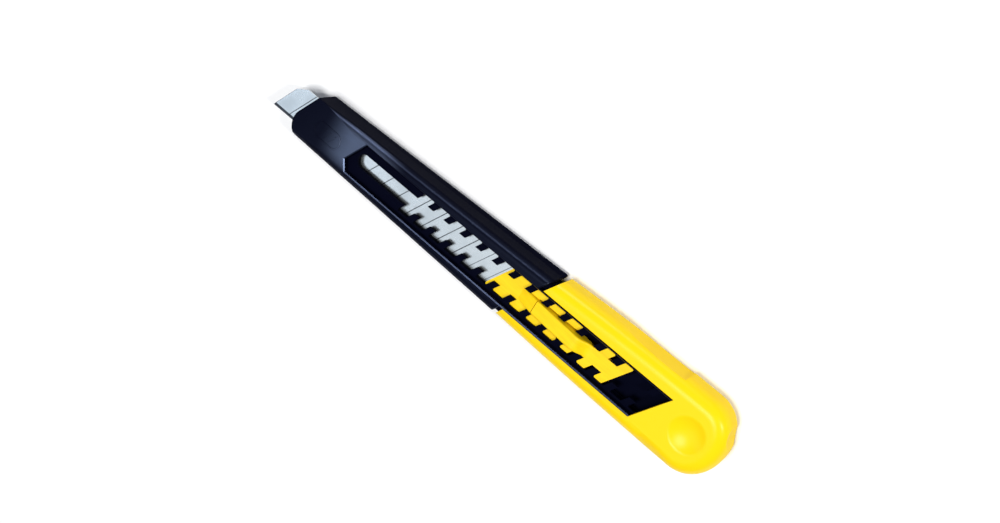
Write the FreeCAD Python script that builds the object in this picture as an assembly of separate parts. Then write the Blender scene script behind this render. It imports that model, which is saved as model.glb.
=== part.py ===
import FreeCAD, Part
import math
import os

# A slim snap-off utility knife, as an assembly of six sub-parts, in millimetres.
# It lies on its back. In the working frame x runs from the nose to the tail along the blade,
# y towards the blade's back (the spine side; the cutting side is -y), and z towards the window
# face. x = 0 is the nose's front edge on the blade's centre line, and z = 0 the blade's mid-plane.
# "On the centre line" means where a slanted edge crosses y = 0.

V = FreeCAD.Vector

# --- blade: the common 9 mm snap-off size
blade_length = 80.0
blade_width = 9.0
blade_thickness = 0.38
snap_pitch = 5.0
snap_count = 12
snap_angle = 60.0          # every crosswise edge of the knife lies at this angle to its axis
score_depth = 0.07
score_width = 0.22
bevel_width = 0.85
edge_thickness = 0.04
tip_clip = 1.7             # the blade's front corner on the spine side is clipped off this far down
blade_hole = 3.0
hole_setback = 6.0         # from the blade's tail end

# --- layers, from the blade outwards
blade_gap = 0.06           # under the blade, and over it in the nose
seat_gap = 0.01            # between the blade and the slider plate on it
plate_thickness = 0.5      # slider plate over the blade
rack_gap = 0.05            # between the slider plate and the rack
rack_thickness = 0.65
window_depth = 1.6         # from the rack's top to the face
relief_depth = 0.95        # groove that the pressed lock dips into
relief_floor = 2.2         # back shell's thickness under that groove
sleeve_back_wall = 1.4
fit_gap = 0.1              # between the housing's tenon and the sleeve
shell_split = 2.4          # the two housing shells meet this far below the blade's mid-plane

# --- widths, from the blade outwards
side_gap = 0.25            # beside the blade
nose_wall_spine = 0.95
nose_wall_edge = 1.83
joint_wall_spine = 3.16
joint_wall_edge = 3.11
lip = 0.5                  # how far the back shell stands out at the joint line, from nothing at the nose
tenon_wall = 1.95
sleeve_wall_spine = 2.0
sleeve_wall_edge = 1.4
tail_wall_spine = 3.4
tail_wall_edge = 2.25
window_width = 9.0
rim_width = 0.35           # upstand along the window, inside the sleeve's cut-out
slot_width = 3.7
notch_reach = 3.9          # from the centre line to a notch's end

# --- lengths along the centre line
guide_length = 13.5        # nose, where the channel is only as high as the blade
window_front = 18.3
window_corner = 2.6        # how far the window's front corner on the cutting side is cut back
slot_front = 19.6
rack_start = 36.9
notch_width = 3.2
notch_count = 15
window_lap = 2.3           # how much of the last notch the window shows
tenon_tip = 1.6            # past the rack
joint_line = 71.8          # the housing's full outline ends here
joint_gap = 1.0
tail_length = 13.5         # from the tenon's end to the tail's end
tail_round = 8.4           # length of the tail's rounding
tail_pocket = 8.5          # length of the hollow in the tail

# --- slider and lock
rest_notch = 11            # the lock's front bar lies in this notch, counted from 0
bar_gap = 0.1              # between a bar and the tooth in front of it
bar_width = 2.4
bar_end_gap = 0.15
bar_top_gap = 0.1          # the bars' tops lie this far below the rack's top
bar_bottom = 0.3
tooth_drop = 0.3           # the single tooth is this much lower than the bars
pin_to_bar = 24.2
pin_gap = 0.15
plate_lead = 3.4           # the slider plate starts this far ahead of its pin
rail_gap = 1.9             # the side rails end this far ahead of the single tooth
ramp_start = 3.1           # behind the pin
hinge_back = 7.75          # the lock's hinge lies this far behind the pin
hinge_radius = 0.4
hinge_gap = 0.05
arm_gap = 0.1              # between the arm and the slot's sides, and behind the ramp
ramp_height = 1.3          # over the slider plate
ridge_height = 1.1         # further rise to the ridge's highest point
ridge_length = 12.7
ridge_fall = 2.4
slide_gap = 0.15           # beside the slider plate

# --- roundings and marks
nose_corner = 4.1          # plan radius at the nose, on the cutting side
nose_edge_spine = 0.43     # face edge radius on the spine side, at the nose
window_edge_spine = 1.7    # the same beside the window's front
joint_edge_spine = 1.98    # the same at the joint line
face_edge = 2.6            # face edge radius on the cutting side
back_edge = 1.2
crown_length = 14.0
crown_drop = 0.8
sleeve_drop = 0.35         # the sleeve's face lies below the window rim
sleeve_face_edge = 3.4
sleeve_back_edge = 2.0
end_edge = 0.4             # around the housing's two ends
back_skim = 0.01           # faced off the back shell, so that it lies flat
window_edge = 0.25         # chamfer along the window
notch_corner = 0.3
plate_corner = 1.0         # plan radius at the slider plate's front
ridge_edge = 0.45
ridge_turn = 3.0           # between the ridge's ramp, top and fall
dimple_diameter = 8.3
dimple_depth = 0.9
dimple_edge = 1.5
dimple_setback = 8.4       # from the tail's end
scoop_radius = 11.0        # upright hollow in the tail's end
scoop_depth = 0.5
scoop_bearing = 27.0       # its direction from the middle of the tail's rounding
grip_depth = 0.65
grip_length = 24.0
grip_end = 15.6            # from the tail's end
grip_bow = 0.08            # the hollow's middle is this much deeper than its end
snap_rib = 0.2             # height of the sleeve's snap ribs on the tenon
rib_radius = 0.6
rib_setback = 8.0          # from the tenon's end
rib_height = 2.0
channel_extra = 1.2        # the sleeve's rib channels run this far past the ribs
step_slant = 0.25          # how far the grip's step leans, as a part of its height
tail_fullness = 0.58       # 0.55 would make the tail a plain ellipse
clip_slant = 1.2           # the blade's clipped corner is this much longer than it is wide
overlap = 1.0              # how far fused blocks reach into each other
hair = 0.01                # for telling faces apart
far = 30.0                 # past every outline

# --- worked out from the above
blade_half = blade_thickness / 2
plate_bottom = blade_half + seat_gap
plate_top = plate_bottom + plate_thickness
rack_bottom = plate_top + rack_gap
rack_top = rack_bottom + rack_thickness
face_top = rack_top + window_depth
channel_floor = -blade_half - blade_gap
relief_bottom = channel_floor - relief_depth
tenon_bottom = relief_bottom - relief_floor
back_bottom = tenon_bottom - fit_gap - sleeve_back_wall
tenon_top = rack_top + fit_gap
sleeve_top = face_top - sleeve_drop

channel_half = blade_width / 2 + side_gap
tenon_half = channel_half + tenon_wall
cavity_half = tenon_half + fit_gap
rim_half = window_width / 2 + rim_width
slot_half = slot_width / 2
arm_half = slot_half - arm_gap

rack_end = rack_start + notch_count * snap_pitch
window_rear = rack_start + (notch_count - 1) * snap_pitch + window_lap
tenon_end = rack_end + tenon_tip
body_length = tenon_end + tail_length
sleeve_front = joint_line + joint_gap
tail_middle = (tail_wall_spine - tail_wall_edge) / 2

bar_front = rack_start + rest_notch * snap_pitch + bar_gap
pin_x = bar_front - pin_to_bar
plate_front = pin_x - plate_lead
blade_tail = pin_x + hole_setback
hinge_x = pin_x + hinge_back
hinge_z = (plate_top - blade_half) / 2
tooth_front = bar_front - snap_pitch
rail_end = tooth_front - rail_gap


def lean(y):
    # how far a slanted edge has moved in x by the time it reaches y
    return y / math.tan(math.radians(snap_angle))


def prism(corners, bottom, top):
    points = [V(x, y, bottom) for x, y in corners]
    return Part.Face(Part.makePolygon(points + points[:1])).extrude(V(0, 0, top - bottom))


def slab(x0, x1, y0, y1, bottom, top):
    # a block whose two ends are slanted like every crosswise edge
    ends = [(x0, y0), (x1, y0), (x1, y1), (x0, y1)]
    return prism([(x + lean(y), y) for x, y in ends], bottom, top)


def profile_bar(outline, half):
    # an outline in x and z, carried across from -half to half
    points = [V(x, -half, z) for x, z in outline]
    return Part.Face(Part.makePolygon(points + points[:1])).extrude(V(0, 2 * half, 0))


def edges_where(shape, test):
    return [edge for edge in shape.Edges if test(edge.BoundBox)]


def arc_edge(start, middle, end):
    return Part.Arc(start, middle, end).toShape()


def line_edge(start, end):
    return Part.LineSegment(start, end).toShape()


def along(nose_value, joint_value, x):
    # a size that changes evenly from the nose to the joint line
    return nose_value + (joint_value - nose_value) * x / joint_line


def spine_half(x):
    return channel_half + along(nose_wall_spine, joint_wall_spine, x)


def edge_half(x):
    return channel_half + along(nose_wall_edge, joint_wall_edge, x)


def rounded_section(x, left, right, base, top, left_radius, right_radius, left_out, right_out):
    # a section across the body: a base line, walls that lean out, and two rounded corners
    way = 1 if top > base else -1
    half_turn = math.sin(math.radians(45))
    outer_left, outer_right = left - left_out, right + right_out
    turn_left = V(x, outer_left + left_radius, top - way * left_radius)
    turn_right = V(x, outer_right - right_radius, top - way * right_radius)
    points = [
        V(x, left, base),
        V(x, right, base),
        V(x, outer_right, turn_right.z),
        V(x, turn_right.y, top),
        V(x, turn_left.y, top),
        V(x, outer_left, turn_left.z),
    ]
    middle_right = turn_right + V(0, half_turn, way * half_turn) * right_radius
    middle_left = turn_left + V(0, -half_turn, way * half_turn) * left_radius
    return Part.Wire([
        line_edge(points[0], points[1]),
        line_edge(points[1], points[2]),
        arc_edge(points[2], middle_right, points[3]),
        line_edge(points[3], points[4]),
        arc_edge(points[4], middle_left, points[5]),
        line_edge(points[5], points[0]),
    ])


def spine_edge(x):
    # the face's rounding on the spine side grows fast up to the window, then slowly
    if x < window_front:
        return nose_edge_spine + (window_edge_spine - nose_edge_spine) * x / window_front
    part = (x - window_front) / (joint_line - window_front)
    return window_edge_spine + (joint_edge_spine - window_edge_spine) * part


def face_section(x):
    radius = spine_edge(x)
    return rounded_section(
        x, -edge_half(x), spine_half(x), -shell_split, face_top, face_edge, radius, 0, 0
    )


def back_section(x):
    out = along(0, lip, x)
    low = back_bottom - back_skim
    return rounded_section(
        x, -edge_half(x), spine_half(x), -shell_split, low, back_edge, back_edge, out, out
    )


def lofted(section):
    stations = [-window_front / 5, window_front, joint_line * 5 / 4]
    return Part.makeLoft([section(x) for x in stations], True, True)


def housing_plan(bottom, top):
    # the housing seen from above: slanted nose with one rounded corner, slanted end
    side = -edge_half(0)
    reach = nose_corner / math.tan(math.radians(snap_angle / 2))
    tilt = math.radians(snap_angle)
    corner = V(lean(side), side, bottom)
    start = corner + V(math.cos(tilt), math.sin(tilt), 0) * reach
    end = corner + V(reach, 0, 0)
    centre = end + V(0, nose_corner, 0)
    middle = centre + (corner - centre).normalize() * nose_corner
    rear = [V(joint_line + lean(y), y, bottom) for y in (-far, far)]
    front_top = V(lean(far), far, bottom)
    edge_low = V(end.x, -far, bottom)
    wire = Part.Wire([
        line_edge(front_top, start),
        arc_edge(start, middle, end),
        line_edge(end, edge_low),
        line_edge(edge_low, rear[0]),
        line_edge(rear[0], rear[1]),
        line_edge(rear[1], front_top),
    ])
    return Part.Face(wire).extrude(V(0, 0, top - bottom))


def crowned():
    # what is cut off over the nose's gently arched face
    span = crown_length * math.sin(math.radians(snap_angle))
    radius = (span**2 + crown_drop**2) / (2 * crown_drop)
    tilt = math.radians(snap_angle)
    start = V(crown_length + lean(-far), -far, face_top - radius)
    drum = Part.makeCylinder(radius, 3 * far, start, V(math.cos(tilt), math.sin(tilt), 0))
    over = slab(-far, crown_length, -far, far, 0, face_top + far)
    return over.cut(drum)


def eased(shell):
    # the edges around the shell's two ends are rounded, but not where the two shells meet
    seam = -shell_split
    ends = [
        edge for edge in shell.Edges
        if (in_slanted_plane(edge, 0) or in_slanted_plane(edge, joint_line))
        and max(abs(edge.BoundBox.ZMin - seam), abs(edge.BoundBox.ZMax - seam)) > hair
    ]
    return shell.makeFillet(end_edge, ends)


def in_slanted_plane(edge, x):
    first, last = edge.FirstParameter, edge.LastParameter
    points = [edge.valueAt(value) for value in (first, (first + last) / 2, last)]
    return all(abs(point.x - x - lean(point.y)) < 2 * hair for point in points)


def window_outline(grow, z):
    # the window seen from above, widened by grow on every side
    half = window_width / 2 + grow
    front = window_front - grow / math.sin(math.radians(snap_angle))
    turn = window_width / 2 - window_corner
    corner = V(front + lean(-turn), -turn, z)
    points = [
        V(front + lean(half), half, z),
        corner,
        V(corner.x + lean(half - turn), -half, z),
        V(tenon_end + far, -half, z),
        V(tenon_end + far, half, z),
    ]
    return Part.makePolygon(points + points[:1])


def window_cut():
    # the window, with a chamfer around its upper edge
    height = face_top + far - rack_top
    cut = Part.Face(window_outline(0, rack_top)).extrude(V(0, 0, height))
    low = window_outline(0, face_top - window_edge)
    high = window_outline(2 * window_edge, face_top + window_edge)
    return cut.fuse(Part.makeLoft([low, high], True, True))


def slot_cut():
    # the slot with its notches, through the rack
    half = slot_half
    bottom, top = rack_bottom - far, face_top
    start = V(slot_front + half, -half, bottom)
    slot = Part.makeBox(tenon_end + far - start.x, 2 * half, top - bottom, start)
    slot = slot.fuse(Part.makeCylinder(half, top - bottom, V(start.x, 0, bottom)))
    for number in range(notch_count):
        x = rack_start + number * snap_pitch
        notch = slab(x, x + notch_width, -notch_reach, notch_reach, bottom, top)
        corners = edges_where(notch, lambda box: box.ZLength > hair)
        slot = slot.fuse(notch.makeFillet(notch_corner, corners))
    return slot


def face_shell():
    outer = lofted(face_section).common(housing_plan(-far, far))
    outer = eased(outer.cut(crowned()))
    rim_end = window_rear - fit_gap
    rim = slab(joint_line - overlap, rim_end, -rim_half, rim_half, 0, face_top)
    shell = outer.fuse([tenon(-shell_split, tenon_top), rim])
    shell = shell.cut(window_cut())
    guide = slab(-far, tenon_end + far, -channel_half, channel_half, -far, blade_half + blade_gap)
    channel = slab(guide_length, tenon_end + far, -channel_half, channel_half, -far, rack_bottom)
    shell = shell.cut(guide.fuse(channel))
    shell = shell.cut(slot_cut())
    ribs = snap_ribs(tenon_half, snap_rib)
    return shell.fuse(ribs).removeSplitter()


def snap_ribs(half, height):
    ribs = []
    for side in (-1, 1):
        x = tenon_end - rib_setback + lean(side * half)
        y = side * (half + height - rib_radius)
        ribs.append(Part.makeCylinder(rib_radius, rib_height, V(x, y, -rib_height / 2)))
    return ribs


def back_shell():
    outer = eased(lofted(back_section).common(housing_plan(back_bottom, far)))
    bed_half = channel_half - fit_gap
    bed_bottom = -shell_split - overlap
    bed = slab(-far, tenon_end, -bed_half, bed_half, bed_bottom, channel_floor)
    bed = bed.common(housing_plan(-far, far).fuse(tenon(-far, far)))
    relief_start = hinge_x - travel_forward() - 2 * joint_gap
    relief = slab(relief_start, tenon_end + far, -notch_reach, notch_reach, relief_bottom, far)
    shell = outer.fuse([tenon(tenon_bottom, -shell_split), bed])
    return shell.cut(relief).removeSplitter()


def travel_forward():
    return (rest_notch - 1) * snap_pitch


def tenon(bottom, top):
    # the narrower length of the housing that the sleeve slides over
    return slab(joint_line - overlap, tenon_end, -tenon_half, tenon_half, bottom, top)


def sleeve_outline():
    # plan of the sleeve: long gently curved sides that run into a rounded tail
    tail_x = body_length - tail_round
    spine_front = cavity_half + sleeve_wall_spine
    edge_front = cavity_half + sleeve_wall_edge
    spine_tail = cavity_half + tail_wall_spine
    edge_tail = cavity_half + tail_wall_edge
    spine = side_arc(sleeve_front + lean(spine_front), spine_front, tail_x, spine_tail)
    edge = side_arc(sleeve_front + lean(-edge_front), -edge_front, tail_x, -edge_tail)
    tip = V(body_length, tail_middle, 0)
    upper = tail_curve(V(tail_x, spine_tail, 0), tip)
    lower = tail_curve(V(tail_x, -edge_tail, 0), tip)
    front = line_edge(spine.Vertexes[0].Point, edge.Vertexes[0].Point)
    return Part.Wire(Part.__sortEdges__([front, spine, upper, lower, edge]))


def side_arc(x0, y0, x1, y1):
    # an arc from (x0, y0) that is level where it ends, at (x1, y1)
    rise = y1 - y0
    radius = ((x1 - x0) ** 2 + rise**2) / (2 * rise)
    middle_x = (x0 + x1) / 2
    reach = math.sqrt(radius**2 - (x1 - middle_x) ** 2)
    middle_y = y1 - radius + math.copysign(reach, radius)
    return arc_edge(V(x0, y0, 0), V(middle_x, middle_y, 0), V(x1, y1, 0))


def tail_curve(side, tip):
    # a quarter of the tail, slightly fuller than an ellipse
    curve = Part.BezierCurve()
    curve.setPoles([
        side,
        V(side.x + (tip.x - side.x) * tail_fullness, side.y, 0),
        V(tip.x, tip.y + (side.y - tip.y) * tail_fullness, 0),
        tip,
    ])
    return curve.toShape()


def sleeve_solid():
    outline = sleeve_outline()
    outline.translate(V(0, 0, back_bottom))
    solid = Part.Face(outline).extrude(V(0, 0, sleeve_top - back_bottom))
    on_face = edges_where(solid, lambda box: box.ZMin > sleeve_top - hair)
    solid = solid.makeFillet(sleeve_face_edge, curved(on_face))
    on_back = edges_where(solid, lambda box: box.ZMax < back_bottom + hair)
    return solid.makeFillet(sleeve_back_edge, curved(on_back))


def curved(edges):
    return [edge for edge in edges if not isinstance(edge.Curve, Part.Line)]


def rear_sleeve():
    sleeve = sleeve_solid().cut(dimple())
    rim = edges_where(sleeve, dimple_rim)
    sleeve = sleeve.makeFillet(dimple_edge, rim)
    bottom, top = tenon_bottom - fit_gap, tenon_top + fit_gap
    socket = slab(-far, tenon_end + fit_gap, -cavity_half, cavity_half, bottom, top)
    opening_half = rim_half + fit_gap
    opening = slab(-far, window_rear, -opening_half, opening_half, 0, far)
    pocket_end = tenon_end + tail_pocket
    pocket = slab(tenon_end, pocket_end, -channel_half, channel_half, tenon_bottom, 0)
    sleeve = sleeve.cut(socket.fuse([opening, pocket]))
    return sleeve.cut(rib_channels() + [finger_grip(), tail_scoop()])


def dimple_rim(box):
    round_in_plan = abs(box.XLength - box.YLength) < hair
    return box.ZMin > sleeve_top - hair and round_in_plan


def rib_channels():
    # room for the snap ribs as the sleeve slides on
    reach = snap_rib + fit_gap
    half = rib_height / 2 + fit_gap
    end = tenon_end - rib_setback + channel_extra
    return [
        slab(-far, end, side - reach, side + reach, -half, half)
        for side in (-cavity_half, cavity_half)
    ]


def dimple():
    half = dimple_diameter / 2
    radius = (half**2 + dimple_depth**2) / (2 * dimple_depth)
    height = sleeve_top - dimple_depth + radius
    return Part.makeSphere(radius, V(body_length - dimple_setback, tail_middle, height))


def tail_scoop():
    # an upright round hollow in the tail's end
    half = cavity_half + tail_wall_spine - tail_middle
    bearing = V(math.cos(math.radians(scoop_bearing)), math.sin(math.radians(scoop_bearing)), 0)
    outline = tail_round * half / math.hypot(half * bearing.x, tail_round * bearing.y)
    middle = V(body_length - tail_round, tail_middle, -far)
    centre = middle + bearing * (outline - scoop_depth + scoop_radius)
    return Part.makeCylinder(scoop_radius, 2 * far, centre)


def finger_grip():
    # a shallow hollow in the spine side that deepens towards a step
    deep = cavity_half + tail_wall_spine - grip_depth
    end = body_length - grip_end
    start = V(end - grip_length, deep + grip_depth, 0)
    stop = V(end, deep, 0)
    outer = [V(end + (far - deep) * step_slant, far, 0), V(start.x, far, 0)]
    middle = V((start.x + stop.x) / 2, deep - grip_bow, 0)
    wire = Part.Wire([
        arc_edge(start, middle, stop),
        line_edge(stop, outer[0]),
        line_edge(outer[0], outer[1]),
        line_edge(outer[1], start),
    ])
    wire.translate(V(0, 0, -far))
    return Part.Face(wire).extrude(V(0, 0, 2 * far))


def blade():
    half = blade_width / 2
    front = blade_tail - blade_length
    body = slab(front, blade_tail, -half, half, -blade_half, blade_half)
    clip_low = V(front + lean(half - tip_clip), half - tip_clip, 0)
    clip_high = V(front + lean(half) + tip_clip * clip_slant, half, 0)
    clip = prism([
        (clip_low.x - overlap, clip_low.y),
        (clip_low.x, clip_low.y),
        (clip_high.x, clip_high.y),
        (clip_high.x, clip_high.y + overlap),
        (clip_low.x - overlap, clip_high.y + overlap),
    ], -far, far)
    hole = Part.makeCylinder(blade_hole / 2, 2 * far, V(pin_x, 0, -far))
    body = body.cut([clip, hole] + [bevel(side) for side in (-1, 1)])
    lines = [front + snap_pitch * (count + 1) for count in range(snap_count)]
    return body.cut([score(x, side) for x in lines for side in (-1, 1)])


def bevel(side):
    # the wedge that is ground off one side of the cutting edge
    edge = -blade_width / 2
    outline = [
        V(-far, edge - overlap, side * edge_thickness / 2),
        V(-far, edge, side * edge_thickness / 2),
        V(-far, edge + bevel_width, side * blade_half),
        V(-far, edge + bevel_width, side * overlap),
        V(-far, edge - overlap, side * overlap),
    ]
    face = Part.Face(Part.makePolygon(outline + outline[:1]))
    return face.extrude(V(blade_length + 2 * far, 0, 0))


def score(x, side):
    # a V groove across the blade, along which it snaps
    half = blade_width / 2 + overlap
    outline = [
        V(x - score_width / 2 + lean(-half), -half, side * blade_half),
        V(x + lean(-half), -half, side * (blade_half - score_depth)),
        V(x + score_width / 2 + lean(-half), -half, side * blade_half),
        V(x + lean(-half), -half, side * (blade_half + score_depth)),
    ]
    face = Part.Face(Part.makePolygon(outline + outline[:1]))
    return face.extrude(V(lean(2 * half), 2 * half, 0))


def top_side_edges(bar, above):
    # the long edges on both sides of a bar's top
    return edges_where(
        bar, lambda box: box.ZMax > above and box.XLength > hair and box.YLength < hair
    )


def slide_carriage():
    half = channel_half - slide_gap
    inner = arm_half + 2 * arm_gap
    rear = hinge_x + hinge_radius
    ramp_end = hinge_x - 1.5 * arm_gap
    plate = slab(plate_front, rear, -half, half, plate_bottom, plate_top)
    upright = edges_where(plate, lambda box: box.ZLength > hair and box.XMax < pin_x + half)
    plate = plate.makeFillet(plate_corner, upright)
    ramp = profile_bar([
        (pin_x + ramp_start, plate_bottom),
        (ramp_end, plate_bottom),
        (ramp_end, plate_top + ramp_height),
        (pin_x + ramp_start, plate_top),
    ], arm_half)
    ramp = ramp.makeFillet(ridge_edge, top_side_edges(ramp, plate_top + hair))
    rails = [rail(side, inner, half) for side in (-1, 1)]
    heel = slab(blade_tail + 2 * seat_gap, rear, -half, half, -blade_half, plate_bottom)
    pin_height = plate_bottom + blade_half
    pin = Part.makeCylinder(blade_hole / 2 - pin_gap, pin_height, V(pin_x, 0, -blade_half))
    body = plate.fuse(rails + [ramp, heel, pin])
    mouth = Part.makeBox(far, 2 * inner, 2 * far, V(ramp_end, -inner, -far))
    seat = Part.makeCylinder(
        hinge_radius + hinge_gap, 2 * inner, V(hinge_x, -inner, hinge_z), V(0, 1, 0)
    )
    return body.cut(mouth.fuse(seat)).removeSplitter()


def rail(side, inner, outer):
    # one of the two rails that run back beside the arm, with a rounded end
    low, high = sorted((side * inner, side * outer))
    height = plate_top + blade_half
    radius = (outer - inner) / 2
    middle = V(rail_end - radius + lean(side * (inner + radius)), side * (inner + radius), -blade_half)
    start = blade_tail + lean(high) + 2 * seat_gap
    box = Part.makeBox(middle.x - start, high - low, height, V(start, low, -blade_half))
    return box.fuse(Part.makeCylinder(radius, height, middle))


def thumb_lock():
    bar_top = rack_top - bar_top_gap
    ridge_front = hinge_x
    ridge_top = ridge_front + ridge_length
    ridge_end = ridge_top + ridge_fall
    top = plate_top + ramp_height
    bars_end = bar_front + snap_pitch + bar_width
    arm = profile_bar([
        (ridge_front, hinge_z),
        (ridge_front, hinge_z - hinge_radius),
        (ridge_top, hinge_z - hinge_radius),
        (ridge_end, bar_bottom),
        (bars_end - 2 * arm_half, bar_bottom),
        (bars_end - 2 * arm_half, bar_top),
        (ridge_end, bar_top),
        (ridge_top, top + ridge_height),
        (ridge_front, top),
    ], arm_half)
    crossing = edges_where(
        arm, lambda box: box.YLength > hair and ridge_front + hair < box.XMin < ridge_end + hair
        and box.ZMin > bar_top - hair
    )
    arm = arm.makeFillet(ridge_turn, crossing)
    arm = arm.makeFillet(ridge_edge, top_side_edges(arm, bar_top - hair))
    knuckle = Part.makeCylinder(hinge_radius, 2 * arm_half, V(hinge_x, -arm_half, hinge_z), V(0, 1, 0))
    stem = slab(ridge_end, bars_end, -arm_half, arm_half, bar_bottom, bar_top)
    reach = notch_reach - bar_end_gap
    bars = [lock_bar(bar_front + step * snap_pitch, -reach, reach, bar_top) for step in (0, 1)]
    tooth = lock_bar(tooth_front, -reach, 0, bar_top - tooth_drop)
    return arm.fuse([knuckle, stem, tooth] + bars).removeSplitter()


def lock_bar(x, y0, y1, top):
    bar = slab(x, x + bar_width, y0, y1, bar_bottom, top)
    corners = edges_where(bar, lambda box: box.ZLength > bar_bottom)
    return bar.makeFillet(notch_corner, corners)


def write(name, shape):
    if not shape.isValid():
        print("not valid:", name)
    if len(shape.Solids) != 1:
        print("solids in", name, len(shape.Solids))
    solid = shape.Solids[0].copy()
    solid.translate(V(-body_length / 2, 0, -back_bottom))
    solid.exportStep("parts/" + name + ".step")
    print(name, round(solid.Volume, 1), solid.BoundBox)


os.makedirs("parts", exist_ok=True)
for make in (face_shell, back_shell, rear_sleeve, slide_carriage, thumb_lock, blade):
    write(make.__name__, make())
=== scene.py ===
import bpy
import math
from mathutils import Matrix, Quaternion, Vector


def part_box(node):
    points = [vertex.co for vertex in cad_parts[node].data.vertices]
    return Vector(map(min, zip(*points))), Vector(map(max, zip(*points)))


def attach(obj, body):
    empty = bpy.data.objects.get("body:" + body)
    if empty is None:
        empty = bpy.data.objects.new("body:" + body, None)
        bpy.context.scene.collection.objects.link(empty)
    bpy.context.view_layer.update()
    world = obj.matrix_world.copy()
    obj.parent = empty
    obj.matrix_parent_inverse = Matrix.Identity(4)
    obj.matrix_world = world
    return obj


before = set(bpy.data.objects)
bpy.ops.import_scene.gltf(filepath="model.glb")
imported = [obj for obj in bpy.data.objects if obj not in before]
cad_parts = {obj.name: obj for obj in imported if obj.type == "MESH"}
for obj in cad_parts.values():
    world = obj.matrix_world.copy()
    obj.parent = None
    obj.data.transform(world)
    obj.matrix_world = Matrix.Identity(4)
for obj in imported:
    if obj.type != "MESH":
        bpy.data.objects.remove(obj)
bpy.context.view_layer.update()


class Wire:
    # a socket of a node tree; sums and products of wires add the Math nodes for them
    def __init__(self, tree, socket=None):
        self.tree = tree
        self.socket = socket

    def make(self, kind, settings, sockets, out=0):
        node = self.tree.nodes.new(kind)
        for name, value in settings.items():
            setattr(node, name, value)
        for key, value in sockets.items():
            if isinstance(value, Wire):
                self.tree.links.new(value.socket, node.inputs[key])
            else:
                node.inputs[key].default_value = value
        return Wire(self.tree, node.outputs[out])

    def math(self, operation, *values):
        return self.make("ShaderNodeMath", {"operation": operation}, dict(enumerate(values)))

    def __add__(self, other):
        return self.math("ADD", self, other)

    def __radd__(self, other):
        return self.math("ADD", other, self)

    def __sub__(self, other):
        return self.math("SUBTRACT", self, other)

    def __rsub__(self, other):
        return self.math("SUBTRACT", other, self)

    def __mul__(self, other):
        return self.math("MULTIPLY", self, other)

    def __rmul__(self, other):
        return self.math("MULTIPLY", other, self)

    def __abs__(self):
        return self.math("ABSOLUTE", self)

    def fade(self, low, high):
        # 0 below low, 1 above high, smooth between
        sockets = {"Value": self, "From Min": low, "From Max": high, "To Min": 0.0, "To Max": 1.0}
        return self.make("ShaderNodeMapRange", {"interpolation_type": "SMOOTHSTEP"}, sockets)

    def tint(self, colourA, colourB):
        # colour A where this wire is 0, colour B where it is 1
        return self.make("ShaderNodeMix", {"data_type": "RGBA"}, {0: self, 6: colourA, 7: colourB}, out=2)


def newMaterial(name):
    # a material that has only its output left
    material = bpy.data.materials.new(name)
    material.use_nodes = True
    tree = material.node_tree
    tree.nodes.remove(tree.nodes["Principled BSDF"])
    return material, Wire(tree)


def plastic(base, sockets):
    return base.make("ShaderNodeBsdfPrincipled", {}, sockets)


def cover(base, shader):
    output = base.tree.nodes["Material Output"]
    base.tree.links.new(shader.socket, output.inputs["Surface"])


def objectPlace(base):
    # object coordinates in metres, whole and split in x, y and z
    place = base.make("ShaderNodeTexCoord", {}, {}, out="Object")
    split = base.make("ShaderNodeSeparateXYZ", {}, {0: place})
    return place, [Wire(base.tree, split.socket.node.outputs[name]) for name in "XYZ"]


def facingUp(base):
    # how far the surface faces up, from -1 to 1, in the piece's own axes
    normal = base.make("ShaderNodeTexCoord", {}, {}, out="Normal")
    return base.make("ShaderNodeSeparateXYZ", {}, {0: normal}, out="Z")


def noise(base, place, size, detail=3.0, stretch=(1, 1, 1), turn=0.0):
    # noise with features of that size in metres, stretched along axes turned in the plane
    sockets = {"Vector": place, "Rotation": (0, 0, turn), "Scale": stretch}
    placed = base.make("ShaderNodeMapping", {"vector_type": "TEXTURE"}, sockets)
    return base.make("ShaderNodeTexNoise", {}, {"Vector": placed, "Scale": 1 / size, "Detail": detail})


def bump(base, height, depth, under=None):
    # relief of that depth in metres, on top of another bump if one is given
    sockets = {"Height": height, "Distance": depth, "Strength": 1.0}
    if under:
        sockets["Normal"] = under
    return base.make("ShaderNodeBump", {}, sockets)


blackUser = {
    "deep": (0.0009, 0.0010, 0.0060, 1),
    "worn": (0.0060, 0.0066, 0.0170, 1),
    "sheen": (0.50, 0.64, 1.0, 1),
    "grain": (0.00016, 0.000006),         # the satin face's grain, size and depth
    "coarseGrain": (0.00030, 0.000016),   # the same for the matt sides and rack
    "patchSize": 0.009,                   # patches that handling has rubbed
    "patchRange": (0.45, 0.7),
    "scratchSize": 0.0006,
    "scratchRange": (0.58, 0.78),
    "scratchStretch": (12, 1, 1),
    "scratchTurn": 0.12,
    "wear": 0.7,
    "satin": {"IOR": 1.9, "Specular IOR Level": 0.90},
    "matt": {"Specular IOR Level": 0.05},
    "satinRoughness": 0.33,
    "mattRoughness": 0.72,
    "patchDull": 0.10,                    # what patches add to the roughness
    "scratchShine": 0.08,                 # and what scratches take from it
    "faceSlope": (0.30, 0.60),            # steeper than this is matt
    "faceHeight": (0.0064, 0.0068),       # below this is the rack, which is matt
    "satinAmount": 0.05,
    "noseRubbed": (-0.0555, -0.0455),     # the nose is rubbed smooth towards the window
    "noseFades": (-0.0425, -0.0300),
    "edgeSide": (-0.0060, -0.0015),       # and less towards the cutting edge
    "rimSlope": (0.80, 0.90),             # the window's rims are rubbed too
    "rimHeight": (0.0073, 0.0076),
    "rimAmount": 0.40,
}


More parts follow.
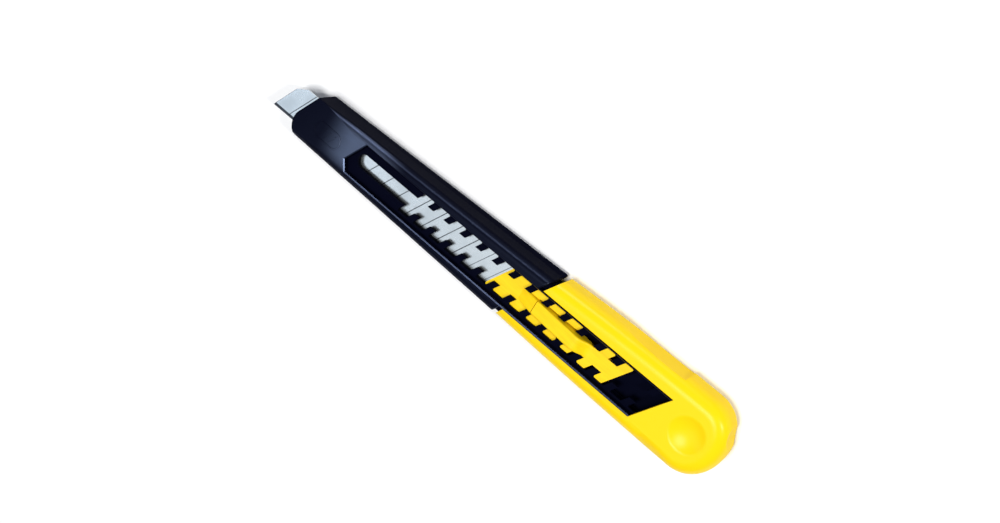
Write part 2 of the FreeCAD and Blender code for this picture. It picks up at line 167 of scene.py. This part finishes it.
def blackPlastic(user):
    # housing plastic: a satin outer face, and coarse matt sides and rack, from spark-eroded moulds
    material, base = newMaterial("blackPlastic")
    place, (x, y, z) = objectPlace(base)
    patches = noise(base, place, user["patchSize"], 4.0)
    scratches = noise(base, place, user["scratchSize"], 5.0, user["scratchStretch"], user["scratchTurn"])
    rubbed = scratches.fade(*user["scratchRange"])
    worn = rubbed * patches.fade(*user["patchRange"]) * user["wear"]
    colour = worn.tint(user["deep"], user["worn"])
    patchDull = patches * user["patchDull"]
    grainSize, grainDepth = user["grain"]
    satin = plastic(base, {
        "Base Color": colour,
        "Roughness": user["satinRoughness"] + patchDull - rubbed * user["scratchShine"],
        "Normal": bump(base, noise(base, place, grainSize, 2.0), grainDepth),
        "Specular Tint": user["sheen"],
        **user["satin"],
    })
    coarseSize, coarseDepth = user["coarseGrain"]
    matt = plastic(base, {
        "Base Color": colour,
        "Roughness": user["mattRoughness"] + patchDull,
        "Normal": bump(base, noise(base, place, coarseSize, 3.0), coarseDepth),
        "Specular Tint": user["sheen"],
        **user["matt"],
    })
    up = facingUp(base)
    face = up.fade(*user["faceSlope"]) * z.fade(*user["faceHeight"])
    nose = x.fade(*user["noseRubbed"]) * (1 - x.fade(*user["noseFades"])) * y.fade(*user["edgeSide"])
    rims = (1 - up.fade(*user["rimSlope"])) * z.fade(*user["rimHeight"])
    amount = face * (user["satinAmount"] + nose * (1 - user["satinAmount"]) + rims * user["rimAmount"])
    cover(base, base.make("ShaderNodeMixShader", {}, {0: amount, 1: matt, 2: satin}))
    return material


yellowUser = {
    "bright": (0.94, 0.65, 0.005, 1),
    # the deep yellow serves the mottling and the painted shade on the steep sides
    "deep": (0.92, 0.62, 0.003, 1),
    "specular": 0.14,
    "grain": (0.00025, 0.000005),
    "mottleSize": 0.012,
    "mottleRange": (0.3, 0.8),
    "mottleDeep": 0.4,                    # how far mottling goes to the deep colour
    "mottleDull": 0.08,                   # what it adds to the roughness
    "hairlineSize": 0.0003,
    "hairlineRange": (0.66, 0.74),
    "hairlineDull": 0.12,
    "hairlineStretch": (40, 1, 1),
    "hairlineTurn": 0.5,
    "hairlineDepth": 0.000003,
    "sideSlope": (0.10, 0.45),            # steeper than this is the duller side, whose colour also gets painted shade
    # how far the steep sides go to the deep colour: painted shade
    "paintedSideShade": 0.3,
    "roughness": 0.25,
    "sideRoughness": 0.50,
}


def yellowPlastic(user):
    # glossy yellow sleeve plastic, faintly mottled, with hairline handling scratches, and painted shade
    # that darkens its steep sides
    material, base = newMaterial("yellowPlastic")
    place, axes = objectPlace(base)
    side = 1 - facingUp(base).fade(*user["sideSlope"])
    mottle = noise(base, place, user["mottleSize"], 3.0)
    scratches = noise(base, place, user["hairlineSize"], 2.0, user["hairlineStretch"], user["hairlineTurn"])
    hairline = scratches.fade(*user["hairlineRange"])
    # the deep colour comes from mottling, and on the steep sides from painted shade
    deep = mottle.fade(*user["mottleRange"]) * user["mottleDeep"] + side * user["paintedSideShade"]
    roughness = user["roughness"] + mottle * user["mottleDull"] + hairline * user["hairlineDull"]
    grainSize, grainDepth = user["grain"]
    grain = bump(base, noise(base, place, grainSize, 2.0), grainDepth)
    cover(base, plastic(base, {
        "Base Color": deep.tint(user["bright"], user["deep"]),
        "Roughness": roughness + side * (user["sideRoughness"] - user["roughness"]),
        "Normal": bump(base, 1 - hairline, user["hairlineDepth"], grain),
        "Specular IOR Level": user["specular"],
    }))
    return material


sliderUser = {
    "bright": (0.94, 0.65, 0.006, 1),
    "deep": (0.90, 0.50, 0.003, 1),
    "specular": 0.18,
    "grain": (0.00012, 0.000005),
    "rubbedSize": 0.0008,
    "rubbedStretch": (8, 1, 1),
    "rubbedRange": (0.35, 0.8),
    "rubbedDeep": 0.5,
    "rubbedDull": 0.1,
    "roughness": 0.33,
}


def yellowSlider(user):
    # the slider's tougher plastic: a finer grain and a warmer yellow
    material, base = newMaterial("yellowSlider")
    place, axes = objectPlace(base)
    rubbed = noise(base, place, user["rubbedSize"], 4.0, user["rubbedStretch"])
    deep = rubbed.fade(*user["rubbedRange"]) * user["rubbedDeep"]
    grainSize, grainDepth = user["grain"]
    cover(base, plastic(base, {
        "Base Color": deep.tint(user["bright"], user["deep"]),
        "Roughness": user["roughness"] + rubbed * user["rubbedDull"],
        "Normal": bump(base, noise(base, place, grainSize, 3.0), grainDepth),
        "Specular IOR Level": user["specular"],
    }))
    return material


bladeUser = {
    "steel": (0.55, 0.60, 0.63, 1),
    "stain": (0.44, 0.49, 0.52, 1),
    # the bevel's colour: painted shade, the dark reflection of its slope
    "ground": (0.07, 0.085, 0.12, 1),
    # painted shade in the snap scores
    "paintedScoreShade": (0.05, 0.055, 0.07, 1),
    "rolledSize": 0.00010,       # rolling marks run along the blade
    "rolledStretch": (60, 1, 1),
    "groundSize": 0.00007,       # grinding marks run across the bevel
    "groundStretch": (1, 30, 1),
    "markDepth": 0.0000015,
    "cloudSize": 0.004,
    "cloudRange": (0.4, 0.75),
    "cloudStain": 0.45,
    "paintedBevelShade": 0.85,
    "scoreStrength": 0.75,
    "roughness": 0.20,
    "cloudDull": 0.10,           # what clouds, the bevel and rolling marks add to the roughness
    "bevelDull": 0.12,
    "rolledDull": 0.05,
    "bevel": 0.00085,
    "pitch": 0.005,              # from one snap score to the next
    "scoreHalf": 0.00013,
    "angle": 60,                 # of the scores to the cutting edge, in degrees
}


def bladeSteel(user):
    # bright rolled steel, cross-ground on the bevel, with painted shade darkening the bevel and the snap
    # scores
    material, base = newMaterial("bladeSteel")
    place, (x, y, z) = objectPlace(base)
    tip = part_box("blade")[0]
    rolled = noise(base, place, user["rolledSize"], 3.0, user["rolledStretch"])
    ground = noise(base, place, user["groundSize"], 2.0, user["groundStretch"])
    cloud = noise(base, place, user["cloudSize"], 4.0)
    onBevel = 1 - (y - tip.y).fade(user["bevel"] * 0.94, user["bevel"] * 1.02)
    lean = 1 / math.tan(math.radians(user["angle"]))
    phase = (x - y * lean - (tip.x - tip.y * lean)) * (1 / user["pitch"])    # whole at each score
    away = abs(phase.math("FRACT", phase + 0.5) - 0.5) * user["pitch"]
    inScore = 1 - away.fade(user["scoreHalf"] * 0.6, user["scoreHalf"])
    colour = (cloud.fade(*user["cloudRange"]) * user["cloudStain"]).tint(user["steel"], user["stain"])
    # painted shade: the bevel's colour is darkened
    colour = (onBevel * user["paintedBevelShade"]).tint(colour, user["ground"])
    # painted shade: the snap scores are darkened in their colour
    colour = (inScore * user["scoreStrength"]).tint(colour, user["paintedScoreShade"])
    roughness = user["roughness"] + cloud * user["cloudDull"] + onBevel * user["bevelDull"]
    marks = rolled * (1 - onBevel) + ground * onBevel
    cover(base, plastic(base, {
        "Base Color": colour,
        "Roughness": roughness + rolled * user["rolledDull"],
        "Normal": bump(base, marks, user["markDepth"]),
        "Metallic": 1.0,
    }))
    return material


def paint(material, *nodeNames):
    for nodeName in nodeNames:
        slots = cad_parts[nodeName].data.materials
        slots.clear()
        slots.append(material)


noseMarkUser = {
    "middle": (-0.0532, -0.0001),
    "length": 0.0086,
    "width": 0.0044,
    "roundness": 48,        # points round the frame's ends
    "line": 0.00040,
    "raise": 0.00010,
    "softening": 0.00004,
    "bars": 3,
    "barGap": 0.0017,
    "barLength": 0.002288,    # across the knife
    "barCuts": 3,
    "angle": 60,
}


def selectIn(mesh, test):
    # selects a mesh's vertices by their place, in edit mode
    bpy.ops.mesh.select_mode(type="VERT")
    bpy.ops.mesh.select_all(action="DESELECT")
    bpy.ops.object.mode_set(mode="OBJECT")
    for vertex in mesh.vertices:
        vertex.select = test(vertex.co)
    bpy.ops.object.mode_set(mode="EDIT")


def markFrame(user):
    # a flat rounded frame: a disk pulled out long, inset, and its middle taken out
    radius = user["width"] / 2
    pull = user["length"] / 2 - radius
    bpy.ops.mesh.primitive_circle_add(vertices=user["roundness"], radius=radius, fill_type="NGON",
                                      location=(0, 0, 0))
    mark = bpy.context.object
    bpy.ops.object.mode_set(mode="EDIT")
    for side in (-1, 1):
        selectIn(mark.data, lambda place: place.x * side > user["line"] / 10)
        bpy.ops.transform.translate(value=(side * pull, 0, 0))
    bpy.ops.mesh.select_all(action="SELECT")
    bpy.ops.mesh.inset(thickness=user["line"], depth=0)
    bpy.ops.mesh.delete(type="FACE")
    bpy.ops.mesh.select_all(action="SELECT")
    bpy.ops.transform.translate(value=(*user["middle"], 0))
    bpy.ops.object.mode_set(mode="OBJECT")
    return mark


def markBar(user):
    # one slanted stroke, like a snap line
    lean = 1 / math.tan(math.radians(user["angle"]))
    bpy.ops.mesh.primitive_plane_add(size=1, location=(0, 0, 0))
    bar = bpy.context.object
    bpy.ops.object.mode_set(mode="EDIT")
    bpy.ops.transform.resize(value=(user["line"], user["barLength"], 1))
    for side in (-1, 1):
        selectIn(bar.data, lambda place: place.y * side > 0)
        bpy.ops.transform.translate(value=(side * user["barLength"] / 2 * lean, 0, 0))
    bpy.ops.mesh.select_all(action="SELECT")
    bpy.ops.transform.translate(value=(*user["middle"], 0))
    bpy.ops.mesh.subdivide(number_cuts=user["barCuts"])
    bpy.ops.object.mode_set(mode="OBJECT")
    return bar


def makeNoseMark(user, material):
    # a plain raised mark on the nose: strokes in a frame, laid on the arched face
    bpy.ops.object.select_all(action="DESELECT")
    mark = markFrame(user)
    bar = markBar(user)
    strokes = []
    for count in range(user["bars"]):
        stroke = bar.copy()
        stroke.data = bar.data.copy()
        bpy.context.collection.objects.link(stroke)
        stroke.location.x = (count - (user["bars"] - 1) / 2) * user["barGap"]
        strokes.append(stroke)
    bpy.data.objects.remove(bar)
    bpy.ops.object.select_all(action="DESELECT")
    for part in [mark] + strokes:
        part.select_set(True)
    bpy.context.view_layer.objects.active = mark
    bpy.ops.object.join()
    mark.name = "nose_mark"
    mark.location.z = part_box("face_shell")[1].z * 1.5    # well above the face that it is laid on
    bpy.ops.object.transform_apply(location=True, rotation=True, scale=True)
    lay = mark.modifiers.new("lay", "SHRINKWRAP")
    lay.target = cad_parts["face_shell"]
    lay.wrap_method = "PROJECT"
    lay.use_project_z = True
    lay.use_negative_direction = True
    lay.use_positive_direction = False
    raiseUp = mark.modifiers.new("raise", "SOLIDIFY")
    raiseUp.thickness = 2 * user["raise"]    # half of it is sunk in the face
    raiseUp.offset = 0
    soften = mark.modifiers.new("soften", "BEVEL")
    soften.width = user["softening"]
    soften.segments = 2
    soften.limit_method = "ANGLE"
    for modifier in (lay.name, raiseUp.name, soften.name):
        bpy.ops.object.modifier_apply(modifier=modifier)
    bpy.ops.object.shade_smooth_by_angle(angle=math.radians(35))
    mark.data.materials.append(material)
    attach(mark, "housing")


black = blackPlastic(blackUser)
paint(black, "face_shell", "back_shell")
paint(yellowPlastic(yellowUser), "rear_sleeve")
paint(yellowSlider(sliderUser), "slide_carriage", "thumb_lock")
paint(bladeSteel(bladeUser), "blade")
print("materials on the CAD parts")
makeNoseMark(noseMarkUser, black)
print("nose mark")


boardUser = {
    "size": 3.0,
    "gap": 0.0001,
    "colour": (0.96, 0.965, 0.97, 1),
    "fleck": (0.9456, 0.950525, 0.95545, 1),
    "fleckSize": 0.03,
    "roughness": 0.7,
}


def layBoard(user):
    # a plain pale board, a hair below the knife's back so that the two planes stay apart
    bpy.ops.mesh.primitive_plane_add(size=user["size"], location=(0, 0, -user["gap"]))
    board = bpy.context.object
    board.name = "paleBoard"
    material, base = newMaterial("paleBoard")
    place, axes = objectPlace(base)
    flecks = noise(base, place, user["fleckSize"], 3.0)
    cover(base, plastic(base, {
        "Base Color": flecks.tint(user["colour"], user["fleck"]),
        "Roughness": user["roughness"],
    }))
    board.data.materials.append(material)


lightUser = {
    "world": (0.80, 0.86, 1.0, 1),
    "worldStrength": 0.10,
    "softboxes": {
        # name: (place, size, power, colour), all aimed at the knife's middle
        "keyBox": ((0.06, -0.04, 1.15), 0.50, 10.2, (1.0, 0.99, 0.97)),
        "bladeBox": ((-0.22, -0.50, 0.86), 0.62, 0.95, (0.94, 0.97, 1.0)),
        "noseBox": ((-0.58, -0.39, 0.76), 0.26, 0.31, (0.82, 0.90, 1.0)),
        "rimBox": ((-0.31, 0.85, 0.43), 0.22, 2.2, (0.92, 0.92, 1.0)),
        "glintBox": ((0.72, 0.38, 0.62), 0.10, 4.2, (1.0, 1.0, 1.0)),
    },
}


def aim(origin, target, roll=0.0):
    turned = (Vector(target) - Vector(origin)).to_track_quat("-Z", "Y")
    return turned @ Quaternion((0, 0, 1), roll)


def lightStudio(user):
    world = bpy.data.worlds.new("studio")
    bpy.context.scene.world = world
    world.use_nodes = True
    background = world.node_tree.nodes["Background"]
    background.inputs["Color"].default_value = user["world"]
    background.inputs["Strength"].default_value = user["worldStrength"]
    for name, (place, size, power, colour) in user["softboxes"].items():
        light = bpy.data.lights.new(name, "AREA")
        light.shape = "DISK"
        light.size = size
        light.energy = power
        light.color = colour
        box = bpy.data.objects.new(name, light)
        box.location = place
        box.rotation_mode = "QUATERNION"
        box.rotation_quaternion = aim(place, (0, 0, 0))
        bpy.context.collection.objects.link(box)


cameraUser = {
    "place": (0.080245, 0.115702, 0.228994),
    "target": (-0.000538, 0.002890, 0.006),
    "roll": -108.603,    # degrees about the line of sight
    "lens": 42.63,
    "sensor": 36.0,
    "nearest": 0.01,
}


def setCamera(user):
    camera = bpy.data.cameras.new("studioCamera")
    camera.lens = user["lens"]
    camera.sensor_width = user["sensor"]
    camera.clip_start = user["nearest"]
    stand = bpy.data.objects.new("studioCamera", camera)
    stand.location = user["place"]
    stand.rotation_mode = "QUATERNION"
    stand.rotation_quaternion = aim(user["place"], user["target"], math.radians(user["roll"]))
    bpy.context.collection.objects.link(stand)
    bpy.context.scene.camera = stand


setCamera(cameraUser)
layBoard(boardUser)
lightStudio(lightUser)
bpy.context.scene.view_settings.view_transform = "Standard"
print("camera, board and lights")
